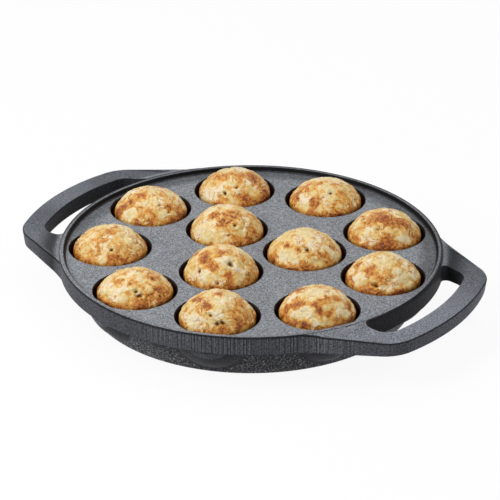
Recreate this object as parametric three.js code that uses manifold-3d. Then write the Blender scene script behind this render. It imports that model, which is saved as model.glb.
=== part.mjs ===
// Paniyaram pan: nine round cups about three, a raised lip, a conical skirt to stand on and a loop handle on
// each side, all poured as one iron casting, with a cooked paniyaram lying loose in every cup.
// Millimetres, +Z up. The origin is the middle of the base, on the surface that the pan stands on.
// The handles lie along X, and the first outer cup lies on +Y.

import * as THREE from "three";
import { mergeVertices } from "three/addons/utils/BufferGeometryUtils.js";
import Module from "manifold-3d";

const wasm = await Module();
wasm.setup();

// Cups
const OUTER_CUP_COUNT = 9;
const INNER_CUP_COUNT = 3;
const OUTER_CUP_START = THREE.MathUtils.degToRad(90); // first cup of each ring, from +X
const INNER_CUP_START = THREE.MathUtils.degToRad(30);
const CUP_RADIUS = 23.8; // inside a bowl, just under its edge
const CUP_DEPTH = 24.1; // from the plate to the bottom of a bowl
const CUP_EDGE = 0.4; // rounding where a bowl meets the plate
const CUP_WALL = 4.4; // iron round and under a bowl
const CUP_FOOT_GRIND = 0.4; // taken off the bottom of a cup to make its flat foot
const OUTER_LAND = 7; // plate between two outer cups
const INNER_LAND = 5; // plate between two inner cups
const RIM_LAND = 0.8; // plate between an outer cup and the lip
const PLATE_THICKNESS = 5;

// Lip and band round the plate
const LIP_HEIGHT = 3; // above the plate
const LIP_WIDTH = 2.8; // across its top
const LIP_SLOPE = 1.2; // how far its inner face leans
const LIP_ROUND = 0.9;
const BAND_HEIGHT = 11.5; // from the top of the lip to the underside of the band
const BAND_DRAFT = 0.3; // how far the band leans in on its way down

// Skirt that the pan stands on
const BAND_OVERHANG = 8.5; // band beyond the top of the skirt
const SKIRT_LEAN = 7.8; // how far the skirt leans in from the band to the base
const SKIRT_WALL = 5;
const SKIRT_ROUND = 1; // outer edge of the base

// Loop handles
const HANDLE_REACH = 27.5; // beyond the band
const HANDLE_LENGTH = 100; // between the two corners of the bar
const HANDLE_BAR = 13; // width of the bar
const HANDLE_DROP = 3.4; // top of the handle below the top of the lip
const HANDLE_ARCH = 0.8; // rise of the bar's top in its middle
const HANDLE_UNDER = 0.4; // underside of the handle below the underside of the band
const HANDLE_DRAFT = 1; // how far its outer wall leans in on its way down
const HANDLE_CORNER = 11; // trimmed from each side of a corner to round it
const HANDLE_FLARE = THREE.MathUtils.degToRad(26.6); // sides spread towards the band
const HANDLE_ROUND = 1.6; // rounding of the top and bottom edges
const ROOT_BLEND = 10; // hollow curve where a side meets the band
const ROOT_SINK = 1; // how far that curve starts inside the band
const ROOT_SLOPE_RISE = 2.4; // the handle's top slopes up to the lip by this much
const ROOT_SLOPE_RUN = 9; // over this width beside the band

// Hole for the fingers in each handle
const HOLE_LENGTH = 83; // between its two outer corners
const HOLE_CORNER = 6;
const HOLE_FLARE = THREE.MathUtils.degToRad(11);
const HOLE_BLEND = 6; // hollow curve where an end meets the band
const HOLE_SKIN = 0.5; // handle metal left over the face of the band

// Paniyaram
const MOUTH_GAP = 2.8; // between a paniyaram and the edge of its cup
const SEAT_GAP = 0.3; // between a paniyaram and the bottom of its cup
const OUTER_DOMES = [12.7, 13.2, 12.7, 12.7, 11.7, 13.7, 13.2, 13, 13.9]; // heights above the plate
const INNER_DOMES = [13.3, 14.5, 15.2];

// Finishes
const IRON = { color: 0x6c6f75, roughness: 0.6, metalness: 0.5 };
const BATTER = { color: 0xdcb578, roughness: 0.7, metalness: 0 };

// Facets
const BODY_SIDES = 60;
const CUP_SIDES = 20;
const PANIYARAM_SIDES = 16;
const BOWL_STEPS = 6; // down a quarter of a bowl
const BULGE_STEPS = 4;
const PANIYARAM_STEPS = 4; // over the dome, and again down to the seat
const HANDLE_STEPS = 3;
const ROUND_STEPS = 2; // across a rounded edge
const MERGE_DISTANCE = 1e-4;
const CUT_ABOVE = 10; // how far a cup's cutter stands over the plate

// Sizes that follow from those above
const mouthRadius = CUP_RADIUS + CUP_EDGE;
const outerRing = (mouthRadius + OUTER_LAND / 2) / Math.sin(Math.PI / OUTER_CUP_COUNT);
const innerRing = (mouthRadius + INNER_LAND / 2) / Math.sin(Math.PI / INNER_CUP_COUNT);
const lipFoot = outerRing + mouthRadius + RIM_LAND;
const rimRadius = lipFoot + LIP_SLOPE + LIP_WIDTH;
const plateTop = CUP_DEPTH + CUP_WALL;
const plateUnder = plateTop - PLATE_THICKNESS;
const bowlCentre = plateTop - CUP_EDGE;
const panHeight = plateTop + LIP_HEIGHT;
const bandUnder = panHeight - BAND_HEIGHT;
const skirtTop = rimRadius - BAND_OVERHANG;
const baseRadius = skirtTop - SKIRT_LEAN;
const handleTop = panHeight - HANDLE_DROP;
const handleUnder = bandUnder - HANDLE_UNDER;
const handleMiddle = (handleTop + handleUnder) / 2;
const handleEdge = rimRadius + HANDLE_REACH;

function polar(radius, angle) {
  return new THREE.Vector2(radius * Math.cos(angle), radius * Math.sin(angle));
}

// Joins the points that faces share, and drops the empty faces that a turned shape has on its axis.
function closed(geometry) {
  const plain = geometry.clone();
  plain.deleteAttribute("normal");
  plain.deleteAttribute("uv");
  const merged = mergeVertices(plain, MERGE_DISTANCE);
  const triangles = [];
  for (let i = 0; i < merged.index.count; i += 3) {
    const [a, b, c] = merged.index.array.slice(i, i + 3);
    if (a !== b && b !== c && c !== a) triangles.push(a, b, c);
  }
  return merged.setIndex(triangles);
}

// Turns a radius and height profile round Z. The profile runs out along the bottom, up and back to the axis.
function turned(profile, sides) {
  return closed(new THREE.LatheGeometry(profile, sides).rotateX(Math.PI / 2));
}

// Part of an ellipse about a point on a profile, from one angle to another.
function arc(centre, radius, height, from, to, steps) {
  const curve = new THREE.EllipseCurve(centre.x, centre.y, radius, height, from, to, from > to);
  return curve.getPoints(steps);
}

function solidOf(geometry) {
  const vertProperties = geometry.attributes.position.array;
  const triVerts = new Uint32Array(geometry.index.array);
  return new wasm.Manifold(new wasm.Mesh({ numProp: 3, vertProperties, triVerts }));
}

function geometryOf(solid) {
  const { vertProperties, triVerts } = solid.getMesh();
  const geometry = new THREE.BufferGeometry();
  geometry.setAttribute("position", new THREE.BufferAttribute(vertProperties, 3));
  geometry.setIndex(new THREE.BufferAttribute(triVerts, 1));
  geometry.computeVertexNormals();
  return geometry;
}

// Centres of a ring of cups, anticlockwise.
function ringOf(count, radius, startAngle) {
  const turn = (2 * Math.PI) / count;
  return Array.from({ length: count }, (_, i) => polar(radius, startAngle + i * turn));
}

const outerCups = ringOf(OUTER_CUP_COUNT, outerRing, OUTER_CUP_START);
const innerCups = ringOf(INNER_CUP_COUNT, innerRing, INNER_CUP_START);

// Plate, lip, band and skirt as one turned shape, hollow underneath.
function turnedBody() {
  const lean = SKIRT_LEAN / bandUnder;
  const skirtInside = baseRadius - SKIRT_WALL;
  const leanOfLip = LIP_SLOPE / LIP_HEIGHT;
  const lipInside = lipFoot + LIP_SLOPE;
  const profile = new THREE.Path();
  profile.moveTo(0, plateUnder);
  profile.lineTo(skirtInside + lean * plateUnder, plateUnder);
  profile.lineTo(skirtInside, 0);
  profile.lineTo(baseRadius - SKIRT_ROUND, 0);
  profile.quadraticCurveTo(baseRadius, 0, baseRadius + lean * SKIRT_ROUND, SKIRT_ROUND);
  profile.lineTo(skirtTop, bandUnder);
  profile.lineTo(rimRadius - BAND_DRAFT, bandUnder);
  profile.lineTo(rimRadius, panHeight - LIP_ROUND);
  profile.quadraticCurveTo(rimRadius, panHeight, rimRadius - LIP_ROUND, panHeight);
  profile.lineTo(lipInside + LIP_ROUND, panHeight);
  profile.quadraticCurveTo(lipInside, panHeight, lipInside - leanOfLip * LIP_ROUND, panHeight - LIP_ROUND);
  profile.lineTo(lipFoot, plateTop);
  profile.lineTo(0, plateTop);
  return turned(profile.getPoints(ROUND_STEPS), BODY_SIDES);
}

// Outside of one cup under the plate, with its ground foot on the surface that the pan stands on.
function cupBulge() {
  const drop = bowlCentre + CUP_FOOT_GRIND;
  const footAngle = -Math.asin(bowlCentre / drop);
  const centre = new THREE.Vector2(0, bowlCentre);
  const side = arc(centre, CUP_RADIUS + CUP_WALL, drop, footAngle, 0, BULGE_STEPS);
  return turned([new THREE.Vector2(0, 0), ...side, centre], CUP_SIDES);
}

// What is taken out for one cup: the bowl, its rounded edge and the air above.
function cupCutter() {
  const bowlHeight = CUP_DEPTH - CUP_EDGE;
  const bowl = arc(new THREE.Vector2(0, bowlCentre), CUP_RADIUS, bowlHeight, -Math.PI / 2, 0, BOWL_STEPS);
  const edgeCentre = new THREE.Vector2(mouthRadius, bowlCentre);
  const edge = arc(edgeCentre, CUP_EDGE, CUP_EDGE, Math.PI, Math.PI / 2, ROUND_STEPS);
  const top = plateTop + CUT_ABOVE;
  const wayOut = [new THREE.Vector2(mouthRadius, top), new THREE.Vector2(0, top)];
  return turned([...bowl, ...edge, ...wayOut], CUP_SIDES);
}

// Traces a loop that is alike on both sides of +X: an outer edge about the pan's axis, rounded corners, sides
// that flare back, and a hollow curve at each root. That curve turns away from +X (1) or towards it (-1).
// A short side limits the curves at its two ends.
function traceLoop(path, { edge, length, corner, flare, inner, blend, rootTurn, rootSink, closing }) {
  const tipAngle = Math.asin(length / 2 / edge);
  const tip = polar(edge, tipAngle);
  const back = polar(1, Math.PI - flare);
  const along = tip.dot(back);
  const rootDistance = -along - Math.sqrt(along ** 2 - edge ** 2 + inner ** 2);
  const onSide = (distance) => tip.clone().addScaledVector(back, distance);
  const room = Math.min(1, rootDistance / (corner + blend));
  const root = onSide(rootDistance);
  const sideStart = onSide(room * corner);
  const sideEnd = onSide(rootDistance - room * blend);
  const rootEnd = polar(inner - rootSink, root.angle() + (rootTurn * room * blend) / inner);
  const barAngle = tipAngle - (room * corner) / edge;
  const barEnd = polar(edge, barAngle);
  path.moveTo(rootEnd.x, -rootEnd.y);
  path.quadraticCurveTo(root.x, -root.y, sideEnd.x, -sideEnd.y);
  path.lineTo(sideStart.x, -sideStart.y);
  path.quadraticCurveTo(tip.x, -tip.y, barEnd.x, -barEnd.y);
  path.absarc(0, 0, edge, -barAngle, barAngle, false);
  path.quadraticCurveTo(tip.x, tip.y, sideStart.x, sideStart.y);
  path.lineTo(sideEnd.x, sideEnd.y);
  path.quadraticCurveTo(root.x, root.y, rootEnd.x, rootEnd.y);
  path.absarc(0, 0, closing, rootEnd.angle(), -rootEnd.angle(), true);
  return path;
}

function handlePlan() {
  const plan = traceLoop(new THREE.Shape(), {
    edge: handleEdge,
    length: HANDLE_LENGTH,
    corner: HANDLE_CORNER,
    flare: HANDLE_FLARE,
    inner: rimRadius,
    blend: ROOT_BLEND,
    rootTurn: 1,
    rootSink: ROOT_SINK,
    closing: lipFoot,
  });
  const hole = traceLoop(new THREE.Path(), {
    edge: handleEdge - HANDLE_BAR,
    length: HOLE_LENGTH,
    corner: HOLE_CORNER,
    flare: HOLE_FLARE,
    inner: rimRadius + HOLE_SKIN,
    blend: HOLE_BLEND,
    rootTurn: -1,
    rootSink: 0,
    closing: rimRadius + HOLE_SKIN,
  });
  plan.holes.push(hole);
  return plan;
}

// The handle on +X: flat underneath, just below the band, and arched along the top of the bar.
function loopHandle() {
  const geometry = new THREE.ExtrudeGeometry(handlePlan(), {
    depth: handleTop - handleUnder - 2 * HANDLE_ROUND,
    curveSegments: HANDLE_STEPS,
    bevelThickness: HANDLE_ROUND,
    bevelSize: HANDLE_ROUND,
    bevelOffset: -HANDLE_ROUND,
    bevelSegments: ROUND_STEPS,
  }).translate(0, 0, handleUnder + HANDLE_ROUND);
  const { smoothstep, clamp } = THREE.MathUtils;
  const points = geometry.attributes.position;
  const barInside = handleEdge - HANDLE_BAR;
  for (let i = 0; i < points.count; i++) {
    const [x, y, z] = [points.getX(i), points.getY(i), points.getZ(i)];
    const out = Math.hypot(x, y);
    if (z > handleMiddle) {
      const alongBar = Math.max(0, 1 - (2 * y / HANDLE_LENGTH) ** 2) * smoothstep(out, rimRadius, barInside);
      points.setZ(i, z + HANDLE_ARCH * alongBar);
    } else {
      const shrink = 1 - (HANDLE_DRAFT * clamp((out - barInside) / HANDLE_BAR, 0, 1)) / out;
      points.setXY(i, x * shrink, y * shrink);
    }
  }
  return closed(geometry);
}

// Slope from the top of the handle up to the lip: a turned ring, kept where the handle is under it.
function rootSlope(turn) {
  const inside = rimRadius - LIP_WIDTH / 2;
  const outside = rimRadius + ROOT_SLOPE_RUN;
  const slopeTop = handleTop + ROOT_SLOPE_RISE;
  const profile = new THREE.Path();
  profile.moveTo(inside, handleMiddle);
  profile.lineTo(outside, handleMiddle);
  profile.lineTo(outside, handleTop);
  profile.lineTo(rimRadius, slopeTop);
  profile.lineTo(inside, slopeTop);
  profile.lineTo(inside, handleMiddle);
  const ring = turned(profile.getPoints(), BODY_SIDES);
  const column = new THREE.ExtrudeGeometry(handlePlan(), {
    depth: panHeight,
    curveSegments: HANDLE_STEPS,
    bevelEnabled: false,
  });
  return solidOf(ring).intersect(solidOf(closed(column).rotateZ(turn)));
}

// The whole casting: turned body, cups under the plate, two handles, and then the bowls cut out.
function panCasting() {
  let casting = solidOf(turnedBody());
  for (const turn of [0, Math.PI]) {
    casting = casting.add(solidOf(loopHandle().rotateZ(turn)));
    casting = casting.add(rootSlope(turn));
  }
  const cups = [...outerCups, ...innerCups];
  for (const { x, y } of cups) casting = casting.add(solidOf(cupBulge().translate(x, y, 0)));
  for (const { x, y } of cups) casting = casting.subtract(solidOf(cupCutter().translate(x, y, 0)));
  return geometryOf(casting);
}

// A paniyaram fills its bowl down to the seat and swells over the plate in a round dome.
function paniyaram(domeHeight) {
  const girth = mouthRadius - MOUTH_GAP;
  const middle = new THREE.Vector2(0, plateTop);
  const sunk = arc(middle, girth, CUP_DEPTH - SEAT_GAP, -Math.PI / 2, 0, PANIYARAM_STEPS);
  const radius = (girth ** 2 + domeHeight ** 2) / (2 * domeHeight);
  const sphere = new THREE.Vector2(0, plateTop + domeHeight - radius);
  const from = Math.asin((radius - domeHeight) / radius);
  const dome = arc(sphere, radius, radius, from, Math.PI / 2, PANIYARAM_STEPS);
  return turned([...sunk, ...dome.slice(1)], PANIYARAM_SIDES);
}

function named(name, geometry, finish) {
  const mesh = new THREE.Mesh(geometry, new THREE.MeshStandardMaterial(finish));
  mesh.name = name;
  return mesh;
}

const pan = new THREE.Group();
pan.add(named("pan_casting", panCasting(), IRON));

function fillRing(cups, domes, ringName) {
  cups.forEach(({ x, y }, i) => {
    const ball = named(`paniyaram_${ringName}_${i + 1}`, paniyaram(domes[i]), BATTER);
    ball.position.set(x, y, 0);
    pan.add(ball);
  });
}

fillRing(outerCups, OUTER_DOMES, "outer");
fillRing(innerCups, INNER_DOMES, "inner");

export default pan;
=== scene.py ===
import math
import random

import bmesh
import bpy
from mathutils import Matrix, Vector, noise
from mathutils.kdtree import KDTree


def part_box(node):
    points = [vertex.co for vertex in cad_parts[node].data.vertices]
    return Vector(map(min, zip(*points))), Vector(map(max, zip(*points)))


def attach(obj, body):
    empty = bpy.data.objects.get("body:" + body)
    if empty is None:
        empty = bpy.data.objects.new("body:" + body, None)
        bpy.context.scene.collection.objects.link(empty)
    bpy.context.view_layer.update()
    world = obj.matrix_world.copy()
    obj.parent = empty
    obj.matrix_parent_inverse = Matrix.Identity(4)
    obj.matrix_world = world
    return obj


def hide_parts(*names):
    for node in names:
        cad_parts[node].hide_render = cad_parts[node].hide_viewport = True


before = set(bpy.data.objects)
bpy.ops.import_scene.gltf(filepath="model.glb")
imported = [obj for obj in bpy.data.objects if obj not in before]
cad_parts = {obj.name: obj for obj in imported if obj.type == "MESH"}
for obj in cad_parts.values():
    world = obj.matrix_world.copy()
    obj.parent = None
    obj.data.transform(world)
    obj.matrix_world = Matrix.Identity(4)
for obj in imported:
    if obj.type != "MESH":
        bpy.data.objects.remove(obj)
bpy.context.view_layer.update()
mm = 0.001  # shapes are drawn in millimetres and become metres when they turn into objects


def toLinear(hexColour):
    channels = [int(hexColour[i:i + 2], 16) / 255 for i in (1, 3, 5)]
    return [c / 12.92 if c <= 0.04045 else ((c + 0.055) / 1.055) ** 2.4 for c in channels] + [1]


def addNode(tree, kind, inputs=None, **settings):
    node = tree.nodes.new("ShaderNode" + kind)
    for name, value in settings.items():
        setattr(node, name, value)
    for socket, value in (inputs or {}).items():
        if isinstance(value, bpy.types.NodeSocket):
            tree.links.new(value, node.inputs[socket])
        else:
            node.inputs[socket].default_value = value
    return node


def newMaterial(name):
    material = bpy.data.materials.new(name)
    material.use_nodes = True
    material.node_tree.nodes.clear()
    return material, material.node_tree


def objectFrom(bm, name):
    bmesh.ops.scale(bm, vec=(mm, mm, mm), verts=bm.verts)
    mesh = bpy.data.meshes.new(name)
    bm.to_mesh(mesh)
    bm.free()
    piece = bpy.data.objects.new(name, mesh)
    bpy.context.scene.collection.objects.link(piece)
    return piece


def applyModifiers(piece):
    graph = bpy.context.evaluated_depsgraph_get()
    finished = bpy.data.meshes.new_from_object(piece.evaluated_get(graph))
    piece.modifiers.clear()
    rough = piece.data
    piece.data = finished
    bpy.data.meshes.remove(rough)


def floatAttribute(mesh, name, values):
    attribute = mesh.attributes.new(name, "FLOAT", "POINT")
    attribute.data.foreach_set("value", values)


def polar(radius, angle, height=0):
    return Vector((radius * math.cos(angle), radius * math.sin(angle), height))


def easeIn(value, start, end):
    t = min(max((value - start) / (end - start), 0), 1)
    return t * t * (3 - 2 * t)


# Camera at the photograph's angle, far away with a long lens
view = {
    "azimuth": 33.1,  # degrees to the right of the -Y side
    "elevation": 26.75,
    "distance": 1.682,
    "lens": 211.3,
    "aim": (0.0001, -0.0011, 0.0295),
}
azimuth, elevation = math.radians(view["azimuth"]), math.radians(view["elevation"])
towardsCamera = Vector((math.sin(azimuth) * math.cos(elevation), -math.cos(azimuth) * math.cos(elevation),
                        math.sin(elevation)))
camera = bpy.data.objects.new("camera", bpy.data.cameras.new("camera"))
camera.data.lens = view["lens"]
camera.data.clip_end = 20
camera.location = Vector(view["aim"]) + view["distance"] * towardsCamera
camera.rotation_euler = towardsCamera.to_track_quat("Z", "Y").to_euler()
bpy.context.scene.collection.objects.link(camera)
bpy.context.scene.camera = camera
bpy.context.scene.view_settings.view_transform = "Standard"
print("camera set")

# The pan's overall sizes come from its CAD node
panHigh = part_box("pan_casting")[1] / mm
rimRadius = panHigh.y
panHeight = panHigh.z
handleEdge = panHigh.x

body = {
    "lipHeight": 3,
    "lipWidth": 2.8,
    "lipSlope": 1.2,  # lean of its inner face
    "lipRound": 0.7,
    "plate": 5,  # thickness
    "plateFillet": 0.4,  # where the plate meets the lip
    "band": 11.5,  # height round the rim
    "bandDraft": 0.3,
    "bandRound": 0.8,
    "overhang": 8.5,  # band beyond the top of the skirt
    "overhangFillet": 1.6,
    "skirtLean": 7.8,
    "skirtWall": 5,
    "skirtRound": 1,  # outer edge of the foot
    "footRound": 0.6,  # inner edge of the foot
    "underFillet": 2,  # inside, where the skirt meets the plate
    "roundSteps": 4,
    "skirtSteps": 10,
    "turns": 288,
    "sliver": 0.002,  # gaps this small are closed where surfaces cross
    "sharp": 50,  # degrees, past which an edge isn't shaded smooth
}
plateTop = panHeight - body["lipHeight"]
plateUnder = plateTop - body["plate"]
bandUnder = panHeight - body["band"]
lipFoot = rimRadius - body["lipWidth"] - body["lipSlope"]


def turnedBody():
    skirtTop = rimRadius - body["overhang"]
    base = skirtTop - body["skirtLean"]
    inside = base - body["skirtWall"]
    lean = body["skirtLean"] / bandUnder
    corners = [  # radius, height and rounding, from the middle of the underside round to the plate
        (0, plateUnder, 0),
        (inside + lean * plateUnder, plateUnder, body["underFillet"]),
        (inside, 0, body["footRound"]),
        (base, 0, body["skirtRound"]),
        (skirtTop, bandUnder, body["overhangFillet"]),
        (rimRadius - body["bandDraft"], bandUnder, body["bandRound"]),
        (rimRadius, panHeight, body["lipRound"]),
        (rimRadius - body["lipWidth"], panHeight, body["lipRound"]),
        (lipFoot, plateTop, body["plateFillet"]),
        (0, plateTop, 0),
    ]
    bm = bmesh.new()
    outline = [bm.verts.new((radius, 0, height)) for radius, height, _ in corners]
    bm.faces.new(outline)
    for corner, (_, _, rounding) in zip(outline, corners):
        if rounding:
            bmesh.ops.bevel(bm, geom=[corner], offset=rounding, affect="VERTICES",
                            segments=body["roundSteps"], profile=0.5, material=-1)

    # outside the wall's middle only the skirt's face is longer than the band, and it gets steps to shade well
    midWall = (inside + base) / 2
    skirt = [edge for edge in bm.edges
             if edge.calc_length() > body["band"] and min(v.co.x for v in edge.verts) > midWall]
    bmesh.ops.subdivide_edges(bm, edges=skirt, cuts=body["skirtSteps"])
    onAxis = [edge for edge in bm.edges if max(v.co.x for v in edge.verts) < 1e-6]
    bmesh.ops.delete(bm, geom=bm.faces[:], context="FACES_ONLY")
    bmesh.ops.delete(bm, geom=onAxis, context="EDGES_FACES")
    bmesh.ops.spin(bm, geom=bm.verts[:] + bm.edges[:], axis=(0, 0, 1), cent=(0, 0, 0), angle=2 * math.pi,
                   steps=body["turns"], use_merge=True)
    bmesh.ops.remove_doubles(bm, verts=bm.verts, dist=1e-4)
    bmesh.ops.recalc_face_normals(bm, faces=bm.faces)
    return objectFrom(bm, "turnedBody")


cup = {
    "outer": 9,  # cups in each ring
    "inner": 3,
    "radius": 23.8,  # inside, just under the edge
    "depth": 24.1,
    "edge": 0.4,  # rounding at the plate
    "wall": 4.4,
    "footGrind": 0.4,  # ground off the bottom to make a flat foot
    "root": 2,  # how far a bulge runs up into the plate
    "clear": 10,  # how far the cutter of a bowl stands above the plate
    "around": 96,
    "down": 48,
}
bowlCentre = plateTop - cup["edge"]
bowlDepth = cup["depth"] - cup["edge"]
dumplingNodes = [f"paniyaram_{ring}_{i + 1}" for ring in ("outer", "inner") for i in range(cup[ring])]


def middleOf(node):
    low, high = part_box(node)
    return ((low + high) / 2 / mm).to_2d().to_3d()


def cappedBowl(radius, height, top, foot):
    # an ellipsoid about the bowl's centre, cut flat at its top and foot
    bm = bmesh.new()
    shape = Matrix.Translation((0, 0, bowlCentre)) @ Matrix.Diagonal((radius, radius, height, 1))
    bmesh.ops.create_uvsphere(bm, u_segments=cup["around"], v_segments=cup["down"], radius=1, matrix=shape)
    for level, upwards in ((top, 1), (foot, -1)):
        bmesh.ops.bisect_plane(bm, geom=bm.verts[:] + bm.edges[:] + bm.faces[:], plane_co=(0, 0, level),
                               plane_no=(0, 0, upwards), clear_outer=True)
    return bm


def cupBulge(middle):
    drop = bowlCentre + cup["footGrind"]
    bm = cappedBowl(cup["radius"] + cup["wall"], drop, plateUnder + cup["root"], 0)
    bmesh.ops.holes_fill(bm, edges=bm.edges)
    bmesh.ops.recalc_face_normals(bm, faces=bm.faces)
    bmesh.ops.translate(bm, verts=bm.verts, vec=middle)
    return objectFrom(bm, "cupBulge")


def cupCutter(middle):
    bm = cappedBowl(cup["radius"], bowlDepth, bowlCentre, 0)
    mouth = cup["radius"] + cup["edge"]
    halfWay = cup["edge"] * math.sqrt(0.5)
    steps = [(mouth - halfWay, bowlCentre + halfWay), (mouth, plateTop), (mouth, plateTop + cup["clear"])]
    for radius, height in steps:
        rim = [edge for edge in bm.edges if edge.is_boundary]
        grown = bmesh.ops.extrude_edge_only(bm, edges=rim)["geom"]
        for v in grown:
            if isinstance(v, bmesh.types.BMVert):
                v.co = polar(radius, math.atan2(v.co.y, v.co.x), height)
    bmesh.ops.holes_fill(bm, edges=bm.edges)
    bmesh.ops.recalc_face_normals(bm, faces=bm.faces)
    bmesh.ops.translate(bm, verts=bm.verts, vec=middle)
    return objectFrom(bm, "cupCutter")


handle = {
    "length": 100,  # between the corners of the bar
    "bar": 13,  # width of the bar
    "drop": 3.4,  # its top below the top of the lip
    "arch": 0.8,  # rise of its top in the middle
    "under": 0.4,  # its underside below the band's
    "draft": 1,  # lean of its outer wall
    "corner": 8,
    "flare": 26.6,  # degrees that its sides spread towards the band
    "rootBlend": 10,
    "rootSink": 1.2,  # how far inside the rim that curve ends
    "rootDepth": 6,  # how far inside it the handle itself ends
    "slopeRise": 2.4,  # its top slopes up to the lip
    "slopeTwist": 0.8,  # more at one root and less at the other
    "twistSpan": 30,  # how far from the middle the twist is full
    "slopeRun": 9,
    "slopeEnd": (4, 1.5),  # inside the rim the slope dies away between these, to stay below the lip
    "round": 0.9,
    "roundSteps": 4,
    "sharp": 60,  # degrees, past which an edge is rounded
    "rimHeight": 1,  # the top and bottom of a wall, this high, move as one
    "border": 1.8,  # strip along the outline that holds the rounded edges
    "cut": 2.5,  # spacing of the cuts across the rest
    "cuts": 30,  # to each side of the middle
    "cutShift": 0.37,  # keeps the cuts off the corners
    "holeLength": 83,
    "holeCorner": 6,
    "holeFlare": 11,
    "holeBlend": 6,
    "holeSkin": 0.5,  # metal left over the face of the band
    "arcSteps": 24,
    "curveSteps": 8,
}
handleTop = panHeight - handle["drop"]
handleUnder = bandUnder - handle["under"]
barInside = handleEdge - handle["bar"]


def traceLoop(bm, edge, length, corner, flare, inner, blend, rootTurn, sink, deep):
    # A closed outline, alike on both sides of +X: bar edge, corners, flared sides, curves at the roots, and
    # an end deep inside the band
    reach = 1.2  # a straight stretch this much longer than a curve leaves room for it
    tipAngle = math.asin(length / 2 / edge)
    tip = polar(edge, tipAngle)
    back = polar(1, math.pi - math.radians(flare))
    along = tip.dot(back)
    root = tip + back * (-along - math.sqrt(along ** 2 - edge ** 2 + inner ** 2))
    barAngle = tipAngle - reach * corner / edge
    innerAngle = math.atan2(root.y, root.x) + rootTurn * reach * blend / inner
    ends = []
    for radius, halfAngle in ((edge, barAngle), (inner - deep, innerAngle)):
        first = bm.verts.new(polar(radius, -halfAngle))
        arc = bmesh.ops.spin(bm, geom=[first], axis=(0, 0, 1), cent=(0, 0, 0), angle=2 * halfAngle,
                             steps=handle["arcSteps"])
        last = [v for v in arc["geom_last"] if isinstance(v, bmesh.types.BMVert)][0]
        ends.append(sorted((first, last), key=lambda v: v.co.y))
    (barLow, barHigh), (innerLow, innerHigh) = ends
    for side, bar, closing in ((1, barHigh, innerHigh), (-1, barLow, innerLow)):
        tipVert = bm.verts.new((tip.x, side * tip.y, 0))
        rootVert = bm.verts.new((root.x, side * root.y, 0))
        chain = [bar, tipVert, rootVert, closing]
        if sink:
            chain.insert(3, bm.verts.new(polar(inner - sink, side * innerAngle)))
        for pair in zip(chain, chain[1:]):
            bm.edges.new(pair)
        yield tipVert, corner
        yield rootVert, blend


def loopHandle():
    bm = bmesh.new()
    outer = traceLoop(bm, handleEdge, handle["length"], handle["corner"], handle["flare"], rimRadius,
                      handle["rootBlend"], 1, handle["rootSink"], handle["rootDepth"])
    hole = traceLoop(bm, barInside, handle["holeLength"], handle["holeCorner"], handle["holeFlare"],
                     rimRadius + handle["holeSkin"], handle["holeBlend"], -1, 0, 0)
    for loop in (outer, hole):
        known = set(bm.edges)
        curves = list(loop)
        outline = [edge for edge in bm.edges if edge not in known]
        bmesh.ops.edgeloop_fill(bm, edges=outline)
        for corner, curve in curves:
            bmesh.ops.bevel(bm, geom=[corner], offset=curve, affect="VERTICES", segments=handle["curveSteps"],
                            profile=0.5, material=-1)
    bmesh.ops.delete(bm, geom=bm.faces[:], context="FACES_ONLY")
    bmesh.ops.triangle_fill(bm, edges=bm.edges[:], use_beauty=True, normal=(0, 0, 1))

    # a clean border for the rounded edges, then cuts across the rest so that it can be shaped
    border = set(bmesh.ops.inset_region(bm, faces=bm.faces[:], thickness=handle["border"], use_boundary=True,
                                        use_even_offset=True)["faces"])
    for axis in ((1, 0, 0), (0, 1, 0)):
        for step in range(-handle["cuts"], handle["cuts"] + 1):
            field = [face for face in bm.faces if face not in border]
            edges = dict.fromkeys(edge for face in field for edge in face.edges)
            corners = dict.fromkeys(v for face in field for v in face.verts)
            place = Vector((rimRadius, 0, 0)) + Vector(axis) * (step * handle["cut"] + handle["cutShift"])
            bmesh.ops.bisect_plane(bm, geom=field + list(edges) + list(corners), dist=1e-4, plane_co=place,
                                   plane_no=axis)
    raised = bmesh.ops.extrude_face_region(bm, geom=bm.faces[:])["geom"]
    bmesh.ops.translate(bm, verts=[v for v in raised if isinstance(v, bmesh.types.BMVert)],
                        vec=(0, 0, handleTop - handleUnder))
    bmesh.ops.recalc_face_normals(bm, faces=bm.faces)
    rims = [edge for edge in bm.edges if abs(edge.verts[0].co.z - edge.verts[1].co.z) < 1e-4
            and edge.calc_face_angle() > math.radians(handle["sharp"])]
    bmesh.ops.bevel(bm, geom=rims, offset=handle["round"], affect="EDGES", segments=handle["roundSteps"],
                    profile=0.5, material=-1)
    bmesh.ops.translate(bm, verts=bm.verts, vec=(0, 0, handleUnder))

    # its top arched along the bar and sloping up to the lip, more at one root, its outer wall drawn in below
    slopeOut, slopeIn = (rimRadius - inset for inset in handle["slopeEnd"])
    for v in bm.verts:
        x, y, z = v.co
        out = math.hypot(x, y)
        alongBar = max(0, 1 - (2 * y / handle["length"]) ** 2) * easeIn(out, rimRadius, barInside)
        upper = easeIn(z, handleUnder + handle["rimHeight"], handleTop - handle["rimHeight"])
        rise = handle["slopeRise"] - handle["slopeTwist"] * max(-1, min(1, y / handle["twistSpan"]))
        slope = rise * min(1, max(0, 1 - (out - rimRadius) / handle["slopeRun"]))
        slope *= easeIn(out, slopeOut, slopeIn)
        lift = upper * (handle["arch"] * alongBar + slope)
        drawn = 1 - (1 - upper) * handle["draft"] * min(max((out - barInside) / handle["bar"], 0), 1) / out
        v.co = Vector((x * drawn, y * drawn, z + lift))
    return objectFrom(bm, "loopHandle")


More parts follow.
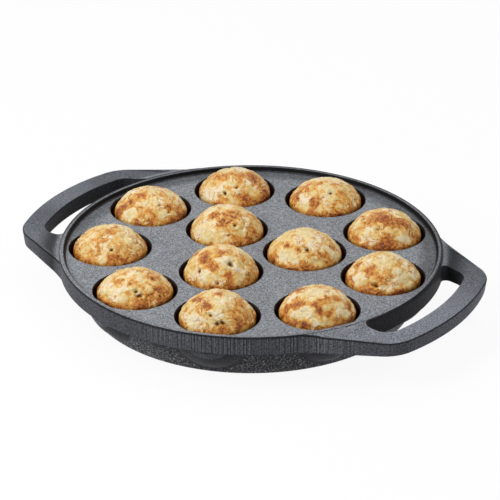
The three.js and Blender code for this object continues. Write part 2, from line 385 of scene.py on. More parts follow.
finishAndShade = {  # where the casting's finishes and the painted shade at two handle roots begin and end, in millimetres
    "bowl": 1.08,  # a surface within this share of a bowl's size is its inside
    "oil": (2.2, 0.3),  # oil ends between these depths below the plate
    "skirt": (89, 91),  # radii between which the outside of the skirt begins
    "bulge": (1.01, 1.05),  # shares of a cup's size between which its bulge gives way to the skirt
    "sand": (2, 0.5),  # sand ends between these depths below the band
    "hollowStart": (0.5, 4),  # beyond the rim, painted shade in the hollow at a handle's root
    "hollowEnd": (6, 17),
    "hollowSide": 3500,  # x times y where that painted shade is full, plus at the left front root and the right back one
}


def castPan():
    piece = turnedBody()
    piece.name = "castIronPan"
    right = loopHandle()
    left = right.copy()
    left.data = right.data.copy()
    left.data.transform(Matrix.Rotation(math.pi, 4, "Z"))
    bpy.context.scene.collection.objects.link(left)
    middles = [middleOf(node) for node in dumplingNodes]
    tools = [(tool, "UNION") for tool in (right, left)]
    tools += [(cupBulge(middle), "UNION") for middle in middles]
    tools += [(cupCutter(middle), "DIFFERENCE") for middle in middles]
    for tool, operation in tools:
        boolean = piece.modifiers.new(tool.name, "BOOLEAN")
        boolean.operation = operation
        boolean.solver = "MANIFOLD"
        boolean.object = tool
    applyModifiers(piece)
    for tool, _ in tools:
        bpy.data.objects.remove(tool)
    bm = bmesh.new()
    bm.from_mesh(piece.data)
    bmesh.ops.remove_doubles(bm, verts=bm.verts, dist=body["sliver"] * mm)
    bmesh.ops.dissolve_degenerate(bm, edges=bm.edges, dist=body["sliver"] / 2 * mm)
    bm.to_mesh(piece.data)
    bm.free()
    piece.data.shade_smooth()
    piece.data.set_sharp_from_angle(angle=math.radians(body["sharp"]))
    even = piece.modifiers.new("evenShade", "WEIGHTED_NORMAL")
    even.keep_sharp = True
    applyModifiers(piece)
    mesh = piece.data
    print("pan cast,", len(mesh.polygons), "faces")

    # where the iron is oiled inside the bowls, sandy on the skirt between the cups, and takes painted shade
    # in the hollows at two roots
    tree = KDTree(len(middles))
    for i, middle in enumerate(middles):
        tree.insert(middle, i)
    tree.balance()
    oilFrom, oilTo = (plateTop - depth for depth in finishAndShade["oil"])
    sandFrom, sandTo = (bandUnder - depth for depth in finishAndShade["sand"])
    hollowStart = [rimRadius + beyond for beyond in finishAndShade["hollowStart"]]
    hollowEnd = [rimRadius + beyond for beyond in finishAndShade["hollowEnd"]]
    oiled, sandy, hollowShade = [], [], []
    for v in mesh.vertices:
        x, y, height = v.co / mm
        out = math.hypot(x, y)
        fromCup = tree.find((x, y, 0))[2]
        inBowl = math.hypot(fromCup / cup["radius"], (height - bowlCentre) / bowlDepth) < finishAndShade["bowl"]
        oiled.append((1 - easeIn(height, oilFrom, oilTo)) if inBowl else 0)
        swell = math.hypot(fromCup / (cup["radius"] + cup["wall"]), (height - bowlCentre) / bowlCentre)
        onSkirt = easeIn(out, *finishAndShade["skirt"]) * (1 - easeIn(height, sandFrom, sandTo))
        sandy.append(onSkirt * easeIn(swell, *finishAndShade["bulge"]))
        besideLip = easeIn(out, *hollowStart) * (1 - easeIn(out, *hollowEnd))
        hollowShade.append(besideLip * easeIn(x * y, 0, finishAndShade["hollowSide"]))
    for name, values in (("oiled", oiled), ("sandy", sandy), ("hollowShade", hollowShade)):
        floatAttribute(mesh, name, values)
    return piece


iron = {
    "asCastAndShade": "#5e5f65",  # walls and skirt: darker as-cast iron, partly painted shade
    "ground": "#888c92",  # plate: ground iron, lighter partly as painted sheen
    "handleTop": "#7d8089",
    "worn": "#818389",  # top of the lip
    "sand": "#e4e4e6",  # pale grains on the skirt
    "oil": "#321c12",  # inside the bowls, oil-browned and darker still as painted shade
    "noises": {  # size in millimetres, with grit coarser than the real one so that it shows, and detail
        "grain": (0.8, 3),
        "mottle": (14, 4),
        "sandGrain": (0.9, 3),
    },
    "relief": 0.2,  # height of the grain
    "streak": 0.8,  # width of a grinding mark on the band
    "streakMiddle": -60,  # bearing of the ground arc, and half its width, in degrees
    "streakArc": 34,
    "lipShadeBearing": 107,  # painted shade darkens the plate along the lip on this side
    "lipShadeRadii": (95, 101),  # where that begins and is full
    "rough": 0.55,
    "oiledRough": 0.3,
    "specular": 0.1,  # a dull patina that reflects little
    "tones": {  # how bright each place is, as a share of the iron about it
        "edge": 0.2,  # painted shade on rounded edges
        # painted shade on the plate along the lip, on one side
        "lipShade": 0.5,
        "lipWallShade": 0.12,  # painted shade on the inner face of the lip
        "footHighlight": 2.4,  # painted highlight at its foot on the plate
        "rimShade": 0.35,  # painted shade at the top of the band
        "holeShade": 0.26,  # painted shade at the ends of the finger holes
        # painted light on the walls of the handles
        "handleWallLight": 1.4,
        "backLipShade": 0.7,  # painted shade on the top of the lip on that side
        "lipEdgeShade": 0.12,  # painted shade on its outer edge there
        "shadeBelowBand": 0.9,  # painted shade on the skirt under the band
    },
}


def castIron():
    # Sand-cast iron, bare and lightly oiled: dark grey with salt-and-pepper grain and a low sheen, a level
    # top lighter partly for its ground finish and partly as painted sheen, walls darker partly as painted
    # shade, rounded edges and other set places dark with painted shade or light with painted highlights, pale
    # sand grains on the skirt, upright grinding marks on the front of the band, and oil-browned bowls
    material, tree = newMaterial("castIron")
    place = addNode(tree, "TexCoord")
    inMm = addNode(tree, "VectorMath", {0: place.outputs["Object"], "Scale": 1 / mm}, operation="SCALE")
    where = addNode(tree, "SeparateXYZ", {0: inMm.outputs[0]})
    up = where.outputs["Z"]
    facing = addNode(tree, "SeparateXYZ", {0: place.outputs["Normal"]}).outputs["Z"]
    flat = addNode(tree, "CombineXYZ", {0: where.outputs["X"], 1: where.outputs["Y"]})
    out = addNode(tree, "VectorMath", {0: flat.outputs[0]}, operation="LENGTH").outputs["Value"]
    oiled, sandy, hollowShade = (addNode(tree, "Attribute", attribute_name=name).outputs["Fac"]
                            for name in ("oiled", "sandy", "hollowShade"))
    noises = {}
    for name, (size, detail) in iron["noises"].items():
        settings = {"Vector": place.outputs["Object"], "Scale": 1 / (size * mm), "Detail": detail,
                    "Roughness": 0.6}
        noises[name] = addNode(tree, "TexNoise", settings).outputs["Fac"]
    turn = addNode(tree, "TexGradient", {0: place.outputs["Object"]}, gradient_type="RADIAL").outputs["Fac"]
    aroundRim = 2 * math.pi * rimRadius
    streaks = addNode(tree, "TexNoise", {"W": turn, "Scale": aroundRim / iron["streak"], "Detail": 1},
                      noise_dimensions="1D").outputs["Fac"]
    aside = addNode(tree, "VectorMath", {0: flat.outputs[0], 1: polar(1, math.radians(iron["lipShadeBearing"]))},
                    operation="DOT_PRODUCT").outputs["Value"]
    absX = addNode(tree, "Math", {0: where.outputs["X"]}, operation="ABSOLUTE").outputs[0]
    sideways = addNode(tree, "Math", {0: absX, 1: out}, operation="DIVIDE").outputs[0]
    towardsShade = addNode(tree, "Math", {0: aside, 1: out}, operation="DIVIDE").outputs[0]
    offMiddle = addNode(tree, "Math", {0: turn, 1: 0.5 + iron["streakMiddle"] / 360}, operation="SUBTRACT")
    offArc = addNode(tree, "Math", {0: offMiddle.outputs[0]}, operation="ABSOLUTE").outputs[0]
    arc = iron["streakArc"] / 360
    lipInside = rimRadius - body["lipWidth"]

    # each reads a value and gives low before start and high after end
    masks = {"sandy": sandy}
    for name, value, start, end, low, high in (
            ("upward", facing, 0.72, 0.95, 0, 1),
            ("onWall", facing, 0.1, 0.4, 1, 0),
            ("rounding", facing, 0.02, 0.12, 0, 1),
            ("notLevel", facing, 0.85, 0.96, 1, 0),
            ("notUnder", facing, -0.3, -0.1, 0, 1),
            ("nearLip", out, *iron["lipShadeRadii"], 0, 1),
            ("pastPlate", out, lipFoot - 0.6, lipFoot, 0, 1),
            ("insideLip", out, lipInside, lipInside + 0.6, 1, 0),
            ("atRim", out, rimRadius - 1.5, rimRadius - 0.8, 0, 1),
            ("outerLip", out, rimRadius - 1.5, rimRadius - 0.9, 0, 1),
            ("pastBand", out, rimRadius - 0.6, rimRadius - 0.1, 0, 1),
            ("pastRim", out, rimRadius + 1, rimRadius + 3, 0, 1),
            ("onHandle", out, rimRadius + 2, rimRadius + 14, 0, 1),
            ("beforeBar", out, barInside + 1, barInside + 3, 1, 0),
            ("shadeBelowBand", up, bandUnder - 2, bandUnder - 0.5, 1, 0),
            ("underLip", up, plateTop + 0.2, plateTop + 0.6, 1, 0),
            ("aboveFoot", up, plateTop + 0.8, plateTop + 1.2, 0, 1),
            ("atFoot", up, plateTop + 0.8, plateTop + 1.2, 1, 0),
            ("highBand", up, panHeight - 1.6, panHeight - 1.1, 0, 1),
            ("onLip", up, panHeight - 0.9, panHeight - 0.4, 0, 1),
            ("byHole", sideways, 0.9, 0.93, 0, 1),
            ("onShadedSide", towardsShade, -0.35, 0.05, 0, 1),
            ("onArc", offArc, 0.7 * arc, arc, 1, 0),
            ("scratches", streaks, 0.3, 0.7, 0.5, 2.0),
            ("sandGrains", noises["sandGrain"], 0.5, 0.62, 0, 1),
            ("grains", noises["grain"], 0.32, 0.68, 0.26, 1.74),
            ("clouds", noises["mottle"], 0.3, 0.7, 0.92, 1.08),
            ("rootShade", hollowShade, 0, 1, 1, 0.12),
            ("gloss", oiled, 0, 1, iron["rough"], iron["oiledRough"])):
        masks[name] = addNode(tree, "MapRange", {0: value, 1: start, 2: end, 3: low, 4: high}).outputs[0]

    products = {
        "grainAndShade": ("grains", "clouds", "rootShade"),
        "onSand": ("sandGrains", "sandy"),
        "onBand": ("onArc", "onWall", "notUnder", "atRim"),
        # painted shade on rounded edges
        "edge": ("rounding", "notLevel"),
        "lipShade": ("nearLip", "onShadedSide", "underLip", "upward"),
        "lipWallShade": ("pastPlate", "insideLip", "notLevel", "aboveFoot"),
        "footHighlight": ("pastPlate", "insideLip", "notLevel", "atFoot"),
        "rimShade": ("highBand", "atRim", "onWall"),
        "holeShade": ("byHole", "beforeBar", "pastBand", "onWall"),
        "handleWallLight": ("pastRim", "onWall"),
        "backLipShade": ("onLip", "onShadedSide"),
        "lipEdgeShade": ("onLip", "onShadedSide", "outerLip"),
    }
    for name, factors in products.items():
        product = masks[factors[0]]
        for factor in factors[1:]:
            product = addNode(tree, "Math", {0: product, 1: masks[factor]}, operation="MULTIPLY").outputs[0]
        masks[name] = product
    tone = masks["grainAndShade"]
    changes = {"onBand": masks["scratches"], **iron["tones"]}
    for name, change in changes.items():
        factor = addNode(tree, "Mix", {0: masks[name], 2: 1.0, 3: change}).outputs[0]
        tone = addNode(tree, "Math", {0: tone, 1: factor}, operation="MULTIPLY").outputs[0]

    top = toLinear(iron["ground"])
    for amount, name in ((masks["onHandle"], "handleTop"), (masks["onLip"], "worn")):
        top = addNode(tree, "Mix", {0: amount, 6: top, 7: toLinear(iron[name])}, data_type="RGBA").outputs[2]
    # level tops take the lighter iron and walls the darker one, partly painted sheen and painted shade
    colour = addNode(tree, "Mix", {0: masks["upward"], 6: toLinear(iron["asCastAndShade"]), 7: top}, data_type="RGBA")
    sanded = addNode(tree, "Mix", {0: masks["onSand"], 6: colour.outputs[2], 7: toLinear(iron["sand"])},
                     data_type="RGBA")
    grained = addNode(tree, "VectorMath", {0: sanded.outputs[2], "Scale": tone}, operation="SCALE")
    finished = addNode(tree, "Mix", {0: oiled, 6: grained.outputs[0], 7: toLinear(iron["oil"])},
                       data_type="RGBA")
    bump = addNode(tree, "Bump", {"Strength": 1.0, "Distance": iron["relief"] * mm,
                                  "Height": noises["grain"]})
    shader = addNode(tree, "BsdfPrincipled", {"Base Color": finished.outputs[2], "Roughness": masks["gloss"],
                                              "Specular IOR Level": iron["specular"],
                                              "Normal": bump.outputs[0]})
    addNode(tree, "OutputMaterial", {0: shader.outputs[0]})
    return material


castIronPan = castPan()
castIronPan.data.materials.clear()
castIronPan.data.materials.append(castIron())
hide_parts("pan_casting")
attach(castIronPan, "pan")
print("pan done,", len(castIronPan.data.polygons), "faces")

# Cooked paniyaram, each with its own marks
paniyaram = {
    "subdivisions": 6,
    "frontBearing": view["azimuth"] - 90,  # of the camera's side, from +X
    "cornerZone": 1.2,  # height each side of the plate where the corner of the dome is eased
    "cornerPasses": 3,
    "skinZone": (-3, 3),  # heights over the plate between which the lumpy skin begins
    "lump": 0.5,
    "lumpSize": 9,
    "lumpSink": 0.4,  # lumps are set into the smooth dome by this share of their height
    "wrinkle": 0.2,
    "wrinkleSize": 3,
    "wrinkleOctaves": (0.8, 2.1, 3),  # fade, step and number
    "blister": 0.45,  # depth of the crease between two blisters
    "blisterSize": 6,
    "blisterBend": (0.35, 3),  # how far their outlines wander, and over how many millimetres
    "crease": 0.35,  # width of a crease, as a share of a blister
    "creaseBrown": 0.22,
    "blisterPale": 0.08,
    "panBrown": 0.3,  # browning by the edge of the bowl
    "panZone": (-0.5, 3),  # heights over the plate between which it fades
    "brownLimits": (0.05, 0.8),
    "pores": 16,  # small burst bubbles, scattered
    "poreSize": (0.5, 0.9),
    "poreDepth": 0.5,
    "poreTilt": 88,  # furthest from the top
    "tear": (1, 1.7),  # how much longer than wide a burst bubble is
    "ragged": (0.5, 1.5),  # how uneven its outline is, and over how many millimetres
    "brimPlace": 1.2,  # its raised brim, as shares of its size and depth
    "brimWidth": 0.3,
    "brimRise": 0.2,
    "brimPale": 0.2,
    "pitReach": 1.8,  # share of its size where the brim has died away
    "darkDepth": (0.6, 1.2),  # depths between which its inside takes painted shade
    "seed": 7,
}
noise.seed_set(paniyaram["seed"])  # the outlines of blisters wander alike on every run

# Marks are told by bearing from the camera's side (right is plus), tilt from the top (0) down to the plate
# (90), size in millimetres, and strength (minus is paler) or depth in millimetres
# The pale marks at bearing 180 and tilt 30 on outer_1, outer_2, outer_4 and inner_2 are painted highlights
# where the far top of each dumpling catches the light
cooked = {
    "outer_1": {
        "base": 0.38,
        "browned": [(-75, 70, 5, 0.4), (-25, 65, 5, 0.45), (-65, 40, 6, 0.15), (35, 55, 6, 0.35),
                    (10, 82, 7, 0.3), (15, 33, 8, -0.35), (-55, 60, 4, -0.3), (-45, 80, 6, -0.3),
                    (-30, 20, 7, 0.1), (180, 30, 11, -0.35), (60, 30, 6, 0.25)],
        "pits": [(15, 40, 1.3, 1.2), (18, 42, 3.2, 0.5), (-25, 65, 1.1, 0.8), (0, 50, 1.8, 0.6)],
    },
    "outer_2": {
        "base": 0.38,
        "browned": [(-55, 80, 10, -0.4), (75, 45, 7, 0.4), (65, 85, 6, 0.35), (20, 75, 5, 0.35),
                    (25, 92, 5, 0.4), (40, 70, 4, -0.25), (-60, 35, 6, 0.25), (10, 15, 7, 0.1),
                    (180, 30, 12, -0.4), (-30, 80, 7, 0.15)],
        "pits": [(-20, 65, 1.6, 1.2), (5, 50, 1.6, 1.1), (10, 70, 1.8, 0.7)],
    },
    "outer_3": {
        "base": 0.38,
        "browned": [(-65, 75, 5, 0.45), (-55, 50, 5, 0.4), (-45, 25, 6, 0.35), (0, 72, 5, 0.35),
                    (65, 85, 6, 0.5), (35, 92, 6, 0.4), (45, 60, 4, 0.3), (-45, 85, 6, -0.35),
                    (30, 75, 4, -0.2)],
        "pits": [(0, 50, 3, 0.8), (40, 70, 1.4, 1), (25, 50, 1.3, 1)],
    },
    "outer_4": {
        "base": 0.42,
        "browned": [(5, 80, 5, 0.35), (15, 87, 5, 0.35), (20, 95, 5, 0.4), (-20, 0, 7, 0.2),
                    (65, 90, 6, 0.25), (55, 40, 5, -0.35), (-15, 85, 6, -0.35), (110, 40, 7, -0.35),
                    (180, 30, 9, -0.2)],
        "pits": [(5, 60, 1.8, 1.2), (55, 40, 3.2, 0.8)],
    },
    "outer_5": {
        "base": 0.38,
        "browned": [(-35, 75, 7, -0.35), (-75, 70, 6, -0.3), (30, 30, 5, -0.2), (55, 65, 5, 0.5),
                    (75, 70, 5, 0.4), (30, 70, 4, 0.45), (5, 92, 8, 0.45), (50, 90, 6, 0.4),
                    (-35, 95, 6, 0.35), (85, 40, 5, 0.3), (-60, 40, 6, 0.3), (60, 35, 5, 0.3),
                    (-10, 30, 4, 0.25)],
        "pits": [(5, 55, 1.9, 1.3), (10, 65, 1.7, 1.3), (-10, 55, 1.1, 0.8), (60, 80, 1.3, 1)],
    },
    "outer_6": {
        "base": 0.36,
        "browned": [(-45, 85, 9, -0.35), (80, 25, 6, -0.3), (5, 25, 6, -0.35), (-100, 80, 6, -0.3),
                    (75, 5, 4, 0.35), (-30, 40, 4, 0.45), (-90, 40, 5, 0.4), (115, 70, 5, 0.4),
                    (75, 45, 5, 0.4), (50, 70, 8, 0.26), (35, 80, 6, 0.2), (5, 80, 5, 0.35),
                    (-60, 95, 6, 0.35), (0, 55, 3, -0.3)],
        "pits": [(-15, 55, 1.6, 1.1), (0, 70, 1.9, 1.3), (10, 70, 1.6, 1.2), (-35, 70, 1.2, 0.8),
                 (-60, 65, 1.7, 0.6)],
    },
    "outer_7": {
        "base": 0.33,
        "browned": [(-70, 70, 4, 0.5), (-55, 55, 4, 0.4), (-40, 50, 4, 0.35), (5, 40, 4, 0.5),
                    (30, 35, 4, 0.5), (60, 40, 4, 0.45), (75, 70, 4, 0.4), (-10, 45, 2.5, 0.4),
                    (0, 55, 2.5, 0.45), (5, 60, 2.5, 0.45), (20, 65, 3, 0.4), (-65, 95, 7, 0.5),
                    (-30, 90, 6, 0.4), (40, 85, 6, 0.3), (-20, 10, 7, -0.35), (-30, 65, 6, -0.35),
                    (50, 70, 6, -0.35), (-75, 50, 4, 0.25), (-115, 35, 5, 0.4), (-120, 55, 6, 0.4),
                    (120, 50, 6, 0.35)],
        "pits": [(-25, 65, 2.5, 0.8)],
    },
    "outer_8": {
        "base": 0.38,
        "browned": [(5, 15, 7, -0.35), (-90, 70, 5, -0.3), (-50, 75, 6, -0.1), (-90, 55, 4, 0.4),
                    (-40, 50, 5, 0.35), (-5, 60, 6, 0.2), (-30, 87, 6, 0.4), (-10, 92, 6, 0.4),
                    (25, 95, 6, 0.35), (45, 60, 8, -0.25), (75, 75, 6, -0.2), (-70, 88, 6, 0.2),
                    (120, 45, 7, -0.4), (160, 35, 8, -0.2)],
        "pits": [(-15, 75, 1.8, 1.2), (-40, 65, 1.1, 0.8)],
    },
    "outer_9": {
        "base": 0.39,
        "browned": [(-40, 20, 8, 0.2), (-5, 25, 5, 0.25), (20, 30, 7, 0.18), (55, 50, 6, 0.3),
                    (-60, 40, 6, 0.2), (10, 60, 5, 0.1), (-60, 95, 6, 0.45), (0, 90, 8, 0.4),
                    (60, 90, 6, 0.45), (-40, 70, 5, -0.2), (35, 70, 5, -0.15), (10, 45, 7, 0.2),
                    (30, 50, 5, 0.12), (-80, 60, 4, -0.3)],
        "pits": [(-20, 50, 2.6, 1)],
    },
    "inner_1": {
        "base": 0.28,
        "browned": [(-65, 85, 6, 0.45), (-30, 90, 6, 0.4), (0, 87, 6, 0.4), (-50, 50, 3, 0.4),
                    (-15, 50, 3, 0.35), (10, 60, 4, 0.5), (30, 65, 3, 0.4), (-70, 25, 3, 0.35),
                    (75, 60, 5, 0.35), (40, 75, 4, 0.4), (-30, 75, 5, -0.3), (-15, 0, 7, -0.3),
                    (60, 75, 5, -0.3)],
        "pits": [(5, 50, 2.2, 1.1), (0, 25, 2, 0.8), (-35, 15, 2.4, 0.6), (-40, 65, 1.1, 0.8)],
    },
    "inner_2": {
        "base": 0.38,
        "browned": [(-50, 70, 10, -0.4), (-50, 35, 5, 0.45), (25, 25, 6, 0.35), (5, 20, 5, 0.3),
                    (-10, 45, 5, 0.4), (60, 75, 5, 0.4), (35, 90, 6, 0.4), (90, 55, 4, 0.3),
                    (60, 45, 3, -0.3), (15, 70, 6, 0.2), (-100, 40, 6, -0.4), (180, 30, 9, -0.2)],
        "pits": [(20, 50, 1.7, 1.2), (5, 70, 1.4, 1), (35, 60, 1.4, 1)],
    },
    "inner_3": {
        "base": 0.35,
        "browned": [(-65, 35, 5, 0.45), (-30, 15, 5, 0.4), (-45, 40, 5, 0.4), (20, 65, 5, 0.35),
                    (-15, 50, 4, 0.4), (55, 80, 6, 0.35), (75, 55, 5, 0.2), (-55, 77, 6, -0.3),
                    (-30, 75, 5, -0.3), (20, 87, 7, 0.3), (25, 45, 5, -0.4), (-110, 55, 6, 0.45),
                    (110, 50, 6, -0.35)],
        "pits": [(25, 45, 3, 1.1), (-45, 65, 1.6, 1.2), (-5, 80, 1.6, 1)],
    },
}


def friedPaniyaram(name, marks):
    low, high = (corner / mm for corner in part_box("paniyaram_" + name))
    girth = (high.x - low.x) / 2
    dome, sunk = high.z - plateTop, plateTop - low.z
    middle = middleOf("paniyaram_" + name) + Vector((0, 0, plateTop))
    capRadius = (girth ** 2 + dome ** 2) / (2 * dome)
    capLean = math.asin(girth / capRadius)

    def onSkin(direction):
        # tilts of the upper half spread over the round cap, the lower half is the ellipsoid in the bowl
        across = math.hypot(direction.x, direction.y)
        turn = math.atan2(direction.y, direction.x)
        if direction.z < 0:
            return polar(girth * across, turn, sunk * direction.z)
        lean = capLean * math.atan2(across, direction.z) / (math.pi / 2)
        return polar(capRadius * math.sin(lean), turn, capRadius * (math.cos(lean) - 1) + dome)

    def markPoint(bearing, tilt):
        turn = math.radians(paniyaram["frontBearing"] + bearing)
        lean = math.radians(tilt)
        return onSkin(polar(math.sin(lean), turn, math.cos(lean)))

    bm = bmesh.new()
    bmesh.ops.create_icosphere(bm, subdivisions=paniyaram["subdivisions"], radius=1)
    for v in bm.verts:
        v.co = onSkin(v.co)
    for _ in range(paniyaram["cornerPasses"]):
        corner = [v for v in bm.verts if abs(v.co.z) < paniyaram["cornerZone"]]
        bmesh.ops.smooth_vert(bm, verts=corner, factor=0.5, use_axis_x=True, use_axis_y=True, use_axis_z=True)
    bm.normal_update()
    bm.verts.ensure_lookup_table()
    tree = KDTree(len(bm.verts))
    for v in bm.verts:
        tree.insert(v.co, v.index)
    tree.balance()

    # browned patches, then pits and pores with a pale brim
    browned = [marks["base"]] * len(bm.verts)
    pitted = [0.0] * len(bm.verts)
    sink = [0.0] * len(bm.verts)
    for bearing, tilt, size, strength in marks["browned"]:
        for _, i, distance in tree.find_range(markPoint(bearing, tilt), size):
            browned[i] += strength * (1 - (distance / size) ** 2)
    chance = random.Random(name)
    pores = [(chance.uniform(-180, 180), paniyaram["poreTilt"] * chance.random() ** 0.5,
              chance.uniform(*paniyaram["poreSize"]), paniyaram["poreDepth"])
             for _ in range(paniyaram["pores"])]
    uneven, unevenSize = paniyaram["ragged"]
    for bearing, tilt, size, depth in marks["pits"] + pores:
        lengthways = polar(1, chance.uniform(0, math.pi))
        long = chance.uniform(*paniyaram["tear"])
        pit = markPoint(bearing, tilt)
        for _, i, distance in tree.find_range(pit, paniyaram["pitReach"] * long * size):
            along = lengthways.dot(bm.verts[i].co - pit)
            reach = math.sqrt(max(0, distance ** 2 - along ** 2) + (along / long) ** 2)
            near = reach / size * (1 + uneven * noise.noise((bm.verts[i].co + middle) / unevenSize))
            dip = max(0, 1 - near ** 2)
            brim = math.exp(-((near - paniyaram["brimPlace"]) / paniyaram["brimWidth"]) ** 2)
            sink[i] += depth * (dip - paniyaram["brimRise"] * brim)
            browned[i] -= paniyaram["brimPale"] * min(1, depth) * brim
            pitted[i] = max(pitted[i], dip * easeIn(depth, *paniyaram["darkDepth"]))

    # the lumpy, wrinkled and blistered skin, browner in the creases and by the edge of the bowl
    wander, wanderSize = paniyaram["blisterBend"]
    for v in bm.verts:
        place = v.co + middle
        lump = paniyaram["lump"] * (noise.noise(place / paniyaram["lumpSize"]) - paniyaram["lumpSink"])
        octaves = noise.fractal(place / paniyaram["wrinkleSize"], *paniyaram["wrinkleOctaves"])
        warped = place / paniyaram["blisterSize"] + wander * noise.noise_vector(place / wanderSize)
        nearest, second = noise.voronoi(warped)[0][:2]
        crease = 1 - easeIn(second - nearest, 0, paniyaram["crease"])
        byPan = 1 - easeIn(v.co.z, *paniyaram["panZone"])
        browned[v.index] += (paniyaram["panBrown"] * byPan + paniyaram["creaseBrown"] * crease
                             - paniyaram["blisterPale"])
        skin = lump + paniyaram["wrinkle"] * octaves - paniyaram["blister"] * crease
        v.co += v.normal * (easeIn(v.co.z, *paniyaram["skinZone"]) * skin - sink[v.index])
    tooHigh = max(v.co.z for v in bm.verts) / dome
    if tooHigh > 1:
        bmesh.ops.scale(bm, vec=(1, 1, 1 / tooHigh), verts=[v for v in bm.verts if v.co.z > 0])
    bmesh.ops.translate(bm, verts=bm.verts, vec=middle)
    ring, number = name.split("_")
    piece = objectFrom(bm, f"friedPaniyaram{ring.title()}{number}")
    piece.data.shade_smooth()
    palest, darkest = paniyaram["brownLimits"]
    floatAttribute(piece.data, "browned", [min(max(value, palest), darkest) for value in browned])
    floatAttribute(piece.data, "pitted", pitted)
    return piece


batter = {
    "stops": (("#f9e7ba", 0.1), ("#f4d48c", 0.32), ("#e8b054", 0.5), ("#d9933f", 0.66), ("#b9651f", 0.84),
              ("#70350c", 1)),  # from pale skin to golden, brown and burnt
    "blister": "#f9e7c8",  # creamy white where the skin lifted
    "unripe": "#e9d08c",  # greenish yellow where it stayed soft
    # painted shade inside the deeper burst bubbles
    "pit": "#552d08",
    "noises": {  # size in millimetres, detail, roughness and distortion
        "mottle": (7, 5, 0.58, 0.8),
        "vein": (7, 5, 0.6, 1.2),
        "speck": (1.6, 4, 0.68, 0.5),
        "tint": (8, 3, 0.6, 0.8),
    },
    "relief": 0.7,  # height of the fine bumps
    "rough": 0.36,  # under its film of oil
    "pitRough": 1,
    "specular": 0.3,
    "scatter": 0.08,  # share of light that goes through the skin
    "scatterDepth": (1.5, 0.8, 0.4),  # millimetres that red, green and blue go
}


def friedBatter():
    # Fried rice batter: a thin cream skin gone golden and then brown where it touched the pan, with toasted
    # veins between the pale blisters, painted shade inside the deeper burst bubbles and a film of oil that
    # gives soft highlights
    material, tree = newMaterial("friedBatter")
    place = addNode(tree, "TexCoord").outputs["Object"]
    browned = addNode(tree, "Attribute", attribute_name="browned").outputs["Fac"]
    pitted = addNode(tree, "Attribute", attribute_name="pitted").outputs["Fac"]
    noises = {}
    for name, (size, detail, rough, bend) in batter["noises"].items():
        settings = {"Vector": place, "Scale": 1 / (size * mm), "Detail": detail, "Roughness": rough,
                    "Distortion": bend}
        noises[name] = addNode(tree, "TexNoise", settings).outputs["Fac"]
    offVein = addNode(tree, "Math", {0: noises["vein"], 1: 0.5}, operation="SUBTRACT")
    fromVein = addNode(tree, "Math", {0: offVein.outputs[0]}, operation="ABSOLUTE").outputs[0]
    veinDepth = addNode(tree, "MapRange", {0: noises["tint"], 1: 0.4, 2: 0.58, 3: 0.08, 4: 0.7}).outputs[0]

    # each reads a value and adds low before start and high after end to the browning
    toast = browned
    for value, start, end, low, high in (
            (fromVein, 0, 0.02, veinDepth, 0),
            (noises["mottle"], 0.3, 0.7, -0.32, 0.26),
            (noises["speck"], 0.3, 0.7, -0.18, 0.18)):
        part = addNode(tree, "MapRange", {0: value, 1: start, 2: end, 3: low, 4: high}).outputs[0]
        toast = addNode(tree, "Math", {0: toast, 1: part}, operation="ADD").outputs[0]
    ramp = addNode(tree, "ValToRGB", {0: toast})
    for _ in batter["stops"][2:]:
        ramp.color_ramp.elements.new(0.5)
    for stop, (colour, position) in zip(ramp.color_ramp.elements, batter["stops"]):
        stop.position = position
        stop.color = toLinear(colour)
    colour = ramp.outputs[0]

    # pale skin is tinted in places, and deep pits take painted shade
    pale = addNode(tree, "MapRange", {0: toast, 1: 0.25, 2: 0.5, 3: 1, 4: 0}).outputs[0]
    for name, value, start, end, most in (
            ("blister", noises["tint"], 0.5, 0.62, pale),
            ("unripe", noises["tint"], 0.48, 0.36, pale),
            ("pit", pitted, 0.45, 0.9, 1)):
        amount = addNode(tree, "MapRange", {0: value, 1: start, 2: end, 4: most}).outputs[0]
        colour = addNode(tree, "Mix", {0: amount, 6: colour, 7: toLinear(batter[name])},
                         data_type="RGBA").outputs[2]
    height = addNode(tree, "Math", {0: noises["mottle"], 1: noises["speck"]}, operation="ADD")
    bump = addNode(tree, "Bump", {"Strength": 0.9, "Distance": batter["relief"] * mm,
                                  "Height": height.outputs[0]})
    gloss = addNode(tree, "MapRange", {0: pitted, 1: 0.1, 2: 0.5, 3: batter["rough"], 4: batter["pitRough"]})
    scatter = [depth * mm for depth in batter["scatterDepth"]]
    shader = addNode(tree, "BsdfPrincipled", {"Base Color": colour, "Roughness": gloss.outputs[0],
                                              "Specular IOR Level": batter["specular"],
                                              "Subsurface Weight": batter["scatter"], "Subsurface Scale": 1.0,
                                              "Subsurface Radius": scatter,
                                              "Normal": bump.outputs[0]})
    addNode(tree, "OutputMaterial", {0: shader.outputs[0]})
    return material


batterMaterial = friedBatter()
for name, marks in cooked.items():
    dumpling = friedPaniyaram(name, marks)
    dumpling.data.materials.append(batterMaterial)
    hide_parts("paniyaram_" + name)
    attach(dumpling, name)
print("paniyaram done")

stage = {
    "floorSize": 8,  # metres
    "bounce": "#404040",  # how much light the floor gives back to the object
    "shadow": 0.08,  # share of the floor that takes a shadow, the rest is plain white
    "ambient": 0.34,
    "lamps": {  # place, width and power of each softbox
        "frontSoftbox": ((-0.35, -0.6, 0.65), 0.6, 5.2),
        "topSoftbox": ((-0.35, 0.5, 1.2), 1.0, 5),
        "sideSoftbox": ((0.9, 0.1, 0.35), 0.5, 1.2),
    },
}


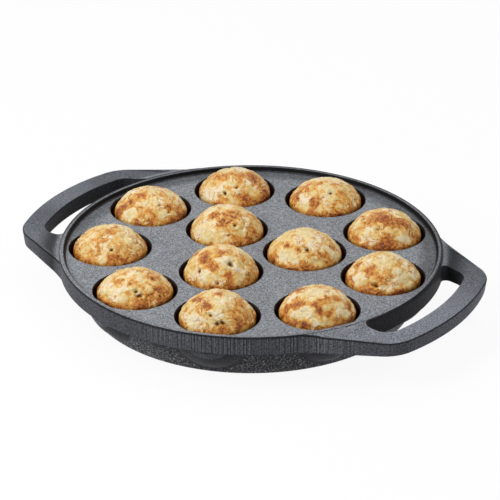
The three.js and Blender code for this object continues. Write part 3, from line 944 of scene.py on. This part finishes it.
def seenDirectly(tree):
    # 1 for what the camera, a reflection or a clear piece sees, 0 for light on its way to the object
    path = addNode(tree, "LightPath")
    seen = path.outputs["Is Camera Ray"]
    for ray in ("Is Glossy Ray", "Is Transmission Ray"):
        seen = addNode(tree, "Math", {0: seen, 1: path.outputs[ray]}, operation="MAXIMUM").outputs[0]
    return seen


def paleFloor():
    # White paper sweep: plain white to the eye with a faint shadow, and a low bounce
    material, tree = newMaterial("whitePaper")
    bounce = addNode(tree, "BsdfDiffuse", {"Color": toLinear(stage["bounce"])})
    white = addNode(tree, "Emission", {"Color": toLinear("#ffffff")})
    shadowed = addNode(tree, "BsdfDiffuse", {"Color": toLinear("#ffffff")})
    shown = addNode(tree, "MixShader", {0: stage["shadow"], 1: white.outputs[0], 2: shadowed.outputs[0]})
    both = addNode(tree, "MixShader", {0: seenDirectly(tree), 1: bounce.outputs[0], 2: shown.outputs[0]})
    addNode(tree, "OutputMaterial", {0: both.outputs[0]})
    bm = bmesh.new()
    bmesh.ops.create_grid(bm, x_segments=1, y_segments=1, size=stage["floorSize"] / 2 / mm)
    floor = objectFrom(bm, "floor")
    floor.data.materials.append(material)


def softLight():
    world = bpy.data.worlds.new("studio")
    bpy.context.scene.world = world
    world.use_nodes = True
    tree = world.node_tree
    tree.nodes.clear()
    dim = addNode(tree, "Background", {"Strength": stage["ambient"]})
    white = addNode(tree, "Background", {"Strength": 1.0})
    for background in (dim, white):
        background.inputs["Color"].default_value = toLinear("#ffffff")
    both = addNode(tree, "MixShader", {0: seenDirectly(tree), 1: dim.outputs[0], 2: white.outputs[0]})
    addNode(tree, "OutputWorld", {0: both.outputs[0]})
    for name, (place, width, power) in stage["lamps"].items():
        lamp = bpy.data.lights.new(name, "AREA")
        lamp.energy = power
        lamp.size = width
        softbox = bpy.data.objects.new(name, lamp)
        softbox.location = place
        softbox.rotation_euler = Vector(place).to_track_quat("Z", "Y").to_euler()
        bpy.context.scene.collection.objects.link(softbox)


paleFloor()
softLight()
print("stage set")
